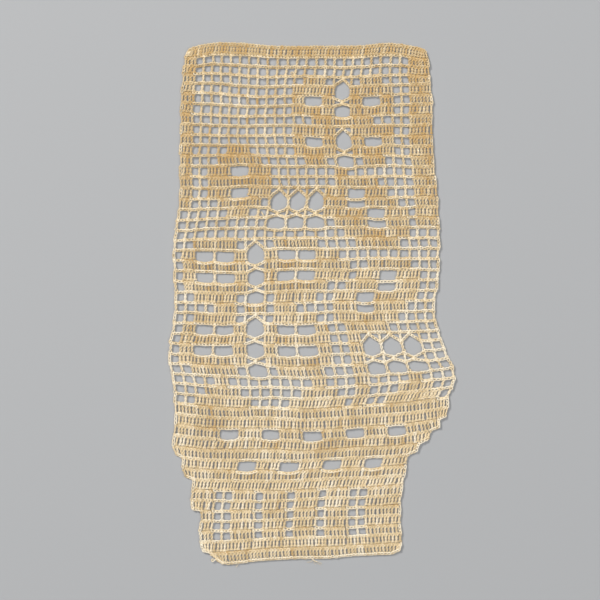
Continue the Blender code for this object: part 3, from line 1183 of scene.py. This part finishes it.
TABLE_SIZE = 4.0
TABLE_GAP = 0.00005  # between the table and the cloth
TABLE_ROUGHNESS = 0.9
FRAME_WIDTH = 0.42  # how much of the table the camera sees
SENSOR = 36.0  # width of the camera's sensor (millimetres)
AIM = Vector((-0.0084, 0.0025))  # the place under the camera
WORLD_COLOUR = (1.0, 0.99, 0.97, 1.0)
WORLD_STRENGTH = 0.19
# Lamps: where each hangs, how wide it is, its share of the main light, its colour.
Lamp = namedtuple("Lamp", "name place size share colour")
LAMPS = (
    Lamp("window_light", Vector((-2.0, 2.2, 2.1)), 0.9, 1.0, (1.0, 0.975, 0.94)),
    Lamp("fill_light", Vector((2.4, -1.2, 2.6)), 2.0, 0.30, (1.0, 0.99, 0.98)),
    Lamp("top_light", Vector((0.2, 0.3, 3.9)), 1.4, 0.40, (1.0, 0.99, 0.97)),
)


def new_object(name, data):
    """A new object in the scene."""
    made = bpy.data.objects.new(name, data)
    bpy.context.scene.collection.objects.link(made)
    return made


def lay_table(settings):
    """A plain table, just under the cloth."""
    half = TABLE_SIZE / 2
    corners = ((-half, -half), (half, -half), (half, half), (-half, half))
    mesh = bpy.data.meshes.new("table")
    mesh.from_pydata([(x, y, -TABLE_GAP) for x, y in corners], [], [(0, 1, 2, 3)])
    material, shader = matt("pale_table", TABLE_ROUGHNESS)
    shader.inputs["Base Color"].default_value = (*settings.table, 1.0)
    mesh.materials.append(material)
    table = new_object("table", mesh)


def hang_lights(settings):
    """Daylight from a window, two softer lights and a faint glow all round."""
    for lamp in LAMPS:
        data = bpy.data.lights.new(lamp.name, "AREA")
        data.shape = "DISK"
        data.size = lamp.size
        data.energy = settings.light * lamp.share
        data.color = lamp.colour
        light = new_object(lamp.name, data)
        light.location = lamp.place
        light.rotation_euler = (-lamp.place).to_track_quat("-Z", "Y").to_euler()
    world = bpy.data.worlds.new("soft_daylight")
    world.use_nodes = True
    background = world.node_tree.nodes["Background"]
    background.inputs["Color"].default_value = WORLD_COLOUR
    background.inputs["Strength"].default_value = WORLD_STRENGTH
    bpy.context.scene.world = world
    bpy.context.scene.view_settings.view_transform = "Standard"


def put_camera(settings):
    """The camera straight above the cloth, looking down at it."""
    data = bpy.data.cameras.new("camera")
    data.sensor_width = SENSOR
    data.lens = SENSOR * settings.height / FRAME_WIDTH
    camera = new_object("camera", data)
    camera.location = (AIM.x, AIM.y, settings.height)
    bpy.context.scene.camera = camera


# ---- operators


def strip_sides():
    """Where the strips have their left and right sides, evenly from edge to edge."""
    low, high = RUNNER_LOW.x, RUNNER_HIGH.x
    cuts = [low + (high - low) * k / STRIPS for k in range(STRIPS + 1)]
    return list(zip(cuts, cuts[1:]))


def strip_flat(cloth, left, right):
    """A strip's width and length, and the area that its rows cover."""
    area = 0.0
    for row in range(ROWS):
        posts = (place(cloth.net, post, row + 0.5) - cloth.middle for post in meshes_of(row))
        low, high = (post.x for post in posts)
        inside = min(right, high + POST_HALF) - max(left, low - POST_HALF)
        area += max(0.0, inside) * ROW_HEIGHT
    return right - left, (RUNNER_HIGH - RUNNER_LOW).y, area


def strip_piece(name, stitches, tree, inputs):
    """One strip of the cloth, worked by the node group and turned into a plain mesh."""
    points = new_object(name + "_points", points_mesh(name + "_points", stitches))
    modifier = points.modifiers.new("stitches", "NODES")
    modifier.node_group = tree
    for given, value in inputs.items():
        set_input(modifier, given, value)
    bpy.context.view_layer.update()
    evaluated = points.evaluated_get(bpy.context.evaluated_depsgraph_get())
    mesh = bpy.data.meshes.new_from_object(evaluated)
    mesh.name = name
    bpy.data.objects.remove(points)
    if len(mesh.polygons) == 0:
        raise RuntimeError(f"{name} came out empty")
    flat_map(mesh)
    return new_object(name, mesh)


class RUNNER_OT_work_rows(bpy.types.Operator):
    """Work every row of the runner in trebles, chains and lacets"""

    bl_idname = "runner.work_rows"
    bl_label = "Work the Rows"

    def execute(self, context):
        settings = context.scene.runner_settings
        cloth = Cloth()
        stitches = all_stitches(cloth)
        tree = stitching_tree()
        inputs = {
            "Treble": course_object("treble_course", treble_courses(WRAPS_DOWN)),
            "Turned Treble": course_object(
                "turned_treble_course", treble_courses(TURNED_WRAPS_DOWN)
            ),
            "Chain Stitch": course_object("chain_stitch_course", link_courses()),
            "Thread Radius": settings.thread_radius,
            "Thread Sides": settings.thread_sides,
            "Unevenness": settings.unevenness,
            "Cotton": ecru_cotton(settings),
        }
        for number, (left, right) in enumerate(strip_sides(), start=1):
            # The outer strips also take what strays past the cloth's edges.
            from_x = -math.inf if number == 1 else left
            to_x = math.inf if number == STRIPS else right
            chosen = [stitch for stitch in stitches if from_x <= stitch.place.x < to_x]
            ends = [end for end in LOOSE_ENDS if left <= end.route[0][0] < right]
            routes = [(smooth_route(end.route), False, end.share) for end in ends]
            inputs["Loose Ends"] = course_object(f"loose_ends_{number}", routes)
            piece = strip_piece(f"strip_{number}", chosen, tree, inputs)
            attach(piece, "root")
            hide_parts("runner")
            width, length, area = strip_flat(cloth, left, right)
        return {"FINISHED"}


class RUNNER_OT_set_stage(bpy.types.Operator):
    """Lay a plain table, hang soft lights and put the camera straight above"""

    bl_idname = "runner.set_stage"
    bl_label = "Set the Stage"

    def execute(self, context):
        settings = context.scene.stage_settings
        lay_table(settings)
        hang_lights(settings)
        put_camera(settings)
        return {"FINISHED"}


class RUNNER_PT_sidebar(bpy.types.Panel):
    """Shows the settings of the runner and the stage, and the buttons of the two operators"""

    bl_idname = "RUNNER_PT_sidebar"
    bl_label = "Filet Crochet Runner"
    bl_space_type = "VIEW_3D"
    bl_region_type = "UI"
    bl_category = "Crochet"

    def draw(self, context):
        column = self.layout.column()
        for settings in (context.scene.runner_settings, context.scene.stage_settings):
            for name in settings.__annotations__:
                column.prop(settings, name)
        for operator in OPERATORS:
            column.operator(operator.bl_idname)


OPERATORS = (RUNNER_OT_work_rows, RUNNER_OT_set_stage)
CLASSES = (RunnerSettings, StageSettings, *OPERATORS, RUNNER_PT_sidebar)


def register():
    """Registers the classes and gives every scene its settings."""
    for cls in CLASSES:
        bpy.utils.register_class(cls)
    bpy.types.Scene.runner_settings = bpy.props.PointerProperty(type=RunnerSettings)
    bpy.types.Scene.stage_settings = bpy.props.PointerProperty(type=StageSettings)


def unregister():
    """Takes back what register() did, the other way round."""
    del bpy.types.Scene.stage_settings
    del bpy.types.Scene.runner_settings
    for cls in reversed(CLASSES):
        bpy.utils.unregister_class(cls)


def main():
    """Works the runner and sets the stage."""
    register()
    bpy.ops.runner.work_rows()
    bpy.ops.runner.set_stage()


if __name__ == "__main__":
    main()
